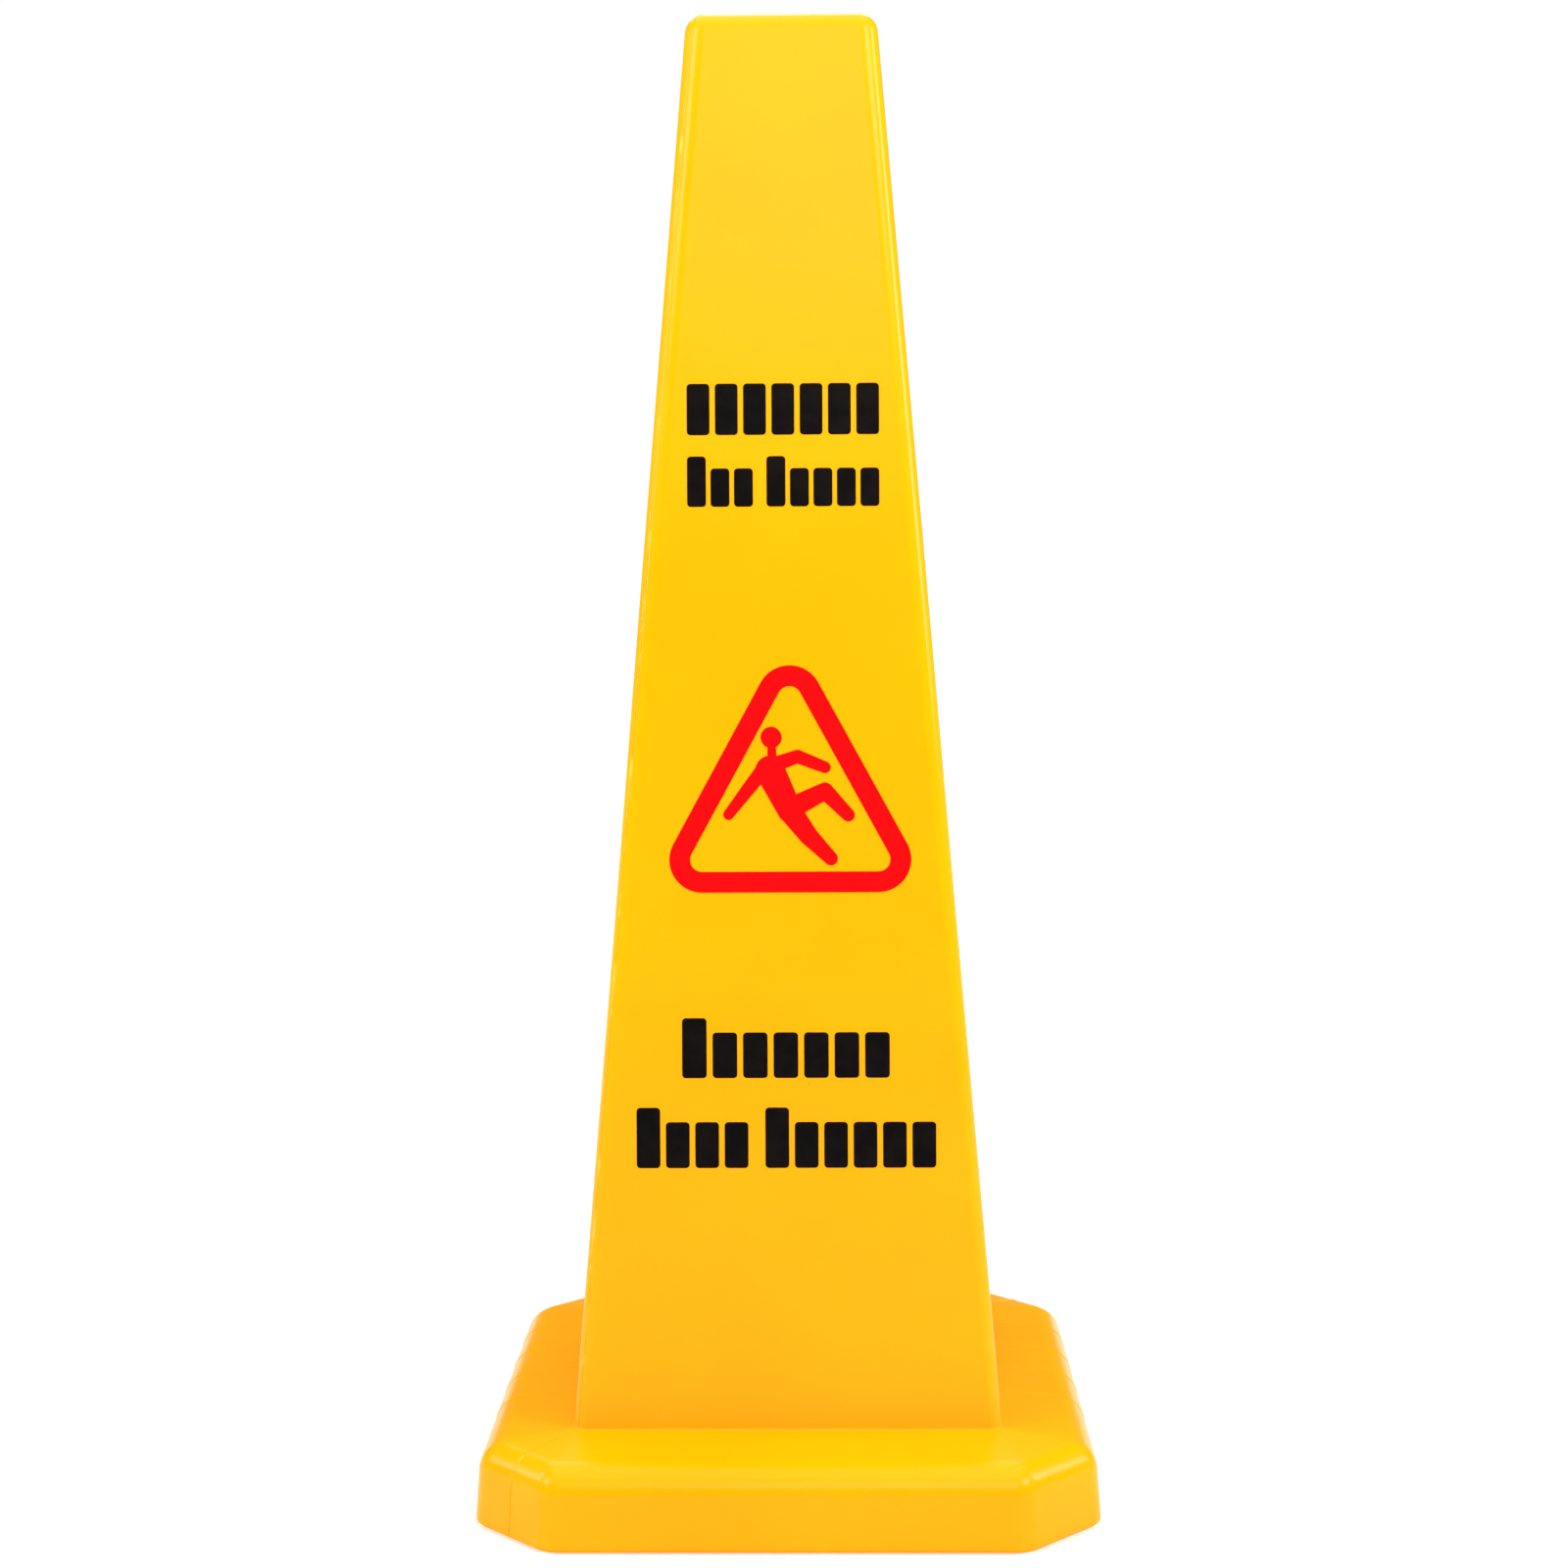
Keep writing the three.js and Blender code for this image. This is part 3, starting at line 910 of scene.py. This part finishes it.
def ballastSand():
    material, wire, place = startMaterial("ballast sand")
    inputs = {"Vector": place, "Scale": sand["grainScale"]}
    grains = wire.node("ShaderNodeTexVoronoi", {"feature": "F1"}, inputs)
    shade = Wire(wire.tree, grains.socket.node.outputs["Color"])
    shade = wire.node("ShaderNodeSeparateColor", inputs={"Color": shade})
    damp = wire.noise(place, 25, 3)
    colour = shade.blend(sand["dark"], sand["light"])
    colour = (damp.between(0.45, 0.7) * 0.5).blend(colour, sand["damp"])
    finishMaterial(wire, colour, 0.9 + 0.08 * shade, 1 - grains, 0.0006)
    return material


def printedInk(name, thin, full):
    material, wire, place = startMaterial(name)
    cloud = wire.noise(place, 120, 3)
    grain = wire.noise(place, 1100, 2)
    colour = cloud.between(0.3, 0.7).blend(thin, full)
    finishMaterial(wire, colour, 0.34 + 0.1 * grain, grain, 0.00002, Specular_IOR_Level=0.05)
    return material


def setMaterial(obj, material):
    obj.data.materials.clear()
    obj.data.materials.append(material)


floorPlane = {  # metres
    "size": 30,
    "height": -0.0002,
    "litFrom": 0.4,
    "litTo": 2.2,
    "glow": 1.0,
    "underGlow": 0.45,
    "underHalf": 0.1415,
    "underCorner": 0.249,
}


def floorPaint():  # lit white paper that can be seen through from below, to look at the underside
    material, wire, place = startMaterial("pale floor")
    cloud = wire.noise(place, 1.5, 2)
    colour = cloud.blend((0.82, 0.82, 0.82, 1), (0.84, 0.84, 0.84, 1))
    away = wire.node("ShaderNodeVectorMath", {"operation": "LENGTH"}, {"Vector": place}, 1)
    x, y = [abs(side) for side in axes(wire, place)]
    under = wire.maths("LESS_THAN", wire.maths("MAXIMUM", x, y), floorPlane["underHalf"])
    under *= wire.maths("LESS_THAN", x + y, floorPlane["underCorner"])
    glow = away.between(floorPlane["litFrom"], floorPlane["litTo"]) + under * floorPlane["underGlow"]
    glow = glow.blend((0, 0, 0, 1), (1, 1, 1, 1))
    paper = wire.tree.nodes["Principled BSDF"]
    wire.tree.links.new(glow.socket, paper.inputs["Emission Color"])
    finishMaterial(wire, colour, 0.6, Emission_Strength=floorPlane["glow"])
    fromBelow = wire.node("ShaderNodeNewGeometry", output=6)
    clear = wire.node("ShaderNodeBsdfTransparent")
    opaque = Wire(wire.tree, paper.outputs[0])
    shown = wire.node("ShaderNodeMixShader", inputs={0: fromBelow, 1: opaque, 2: clear})
    wire.tree.links.new(shown.socket, wire.tree.nodes["Material Output"].inputs["Surface"])
    return material


# ---- putting it together ----

makeCamera()
makeStudio()
deselectAll()
bpy.ops.mesh.primitive_plane_add(size=floorPlane["size"], location=(0, 0, floorPlane["height"]))
floor = bpy.context.object
floor.name = "floor"
setMaterial(floor, floorPaint())
print("camera, floor and light ready")

signBody = makeShell()
setMaterial(signBody, yellowPlastic())
finishPiece(signBody, "sign", "sign_shell")

screwCap = makeCap()
setMaterial(screwCap, capPlastic())
finishPiece(screwCap, "cap", "fill_cap")

capSeal = makeLiner()
setMaterial(capSeal, linerRubber())
finishPiece(capSeal, "liner", "cap_liner")

setMaterial(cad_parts["sand_ballast"], ballastSand())

inks = {
    "blackInk": (printedInk("black ink", *inkColours["black"]), "black_ink"),
    "redInk": (printedInk("red ink", *inkColours["red"]), "red_ink"),
}
for mark, side, node, inkName in makeMarks():
    material, slot = inks[inkName]
    setMaterial(mark, material)
    finishPiece(mark, "sign", f"{side}_{node}")
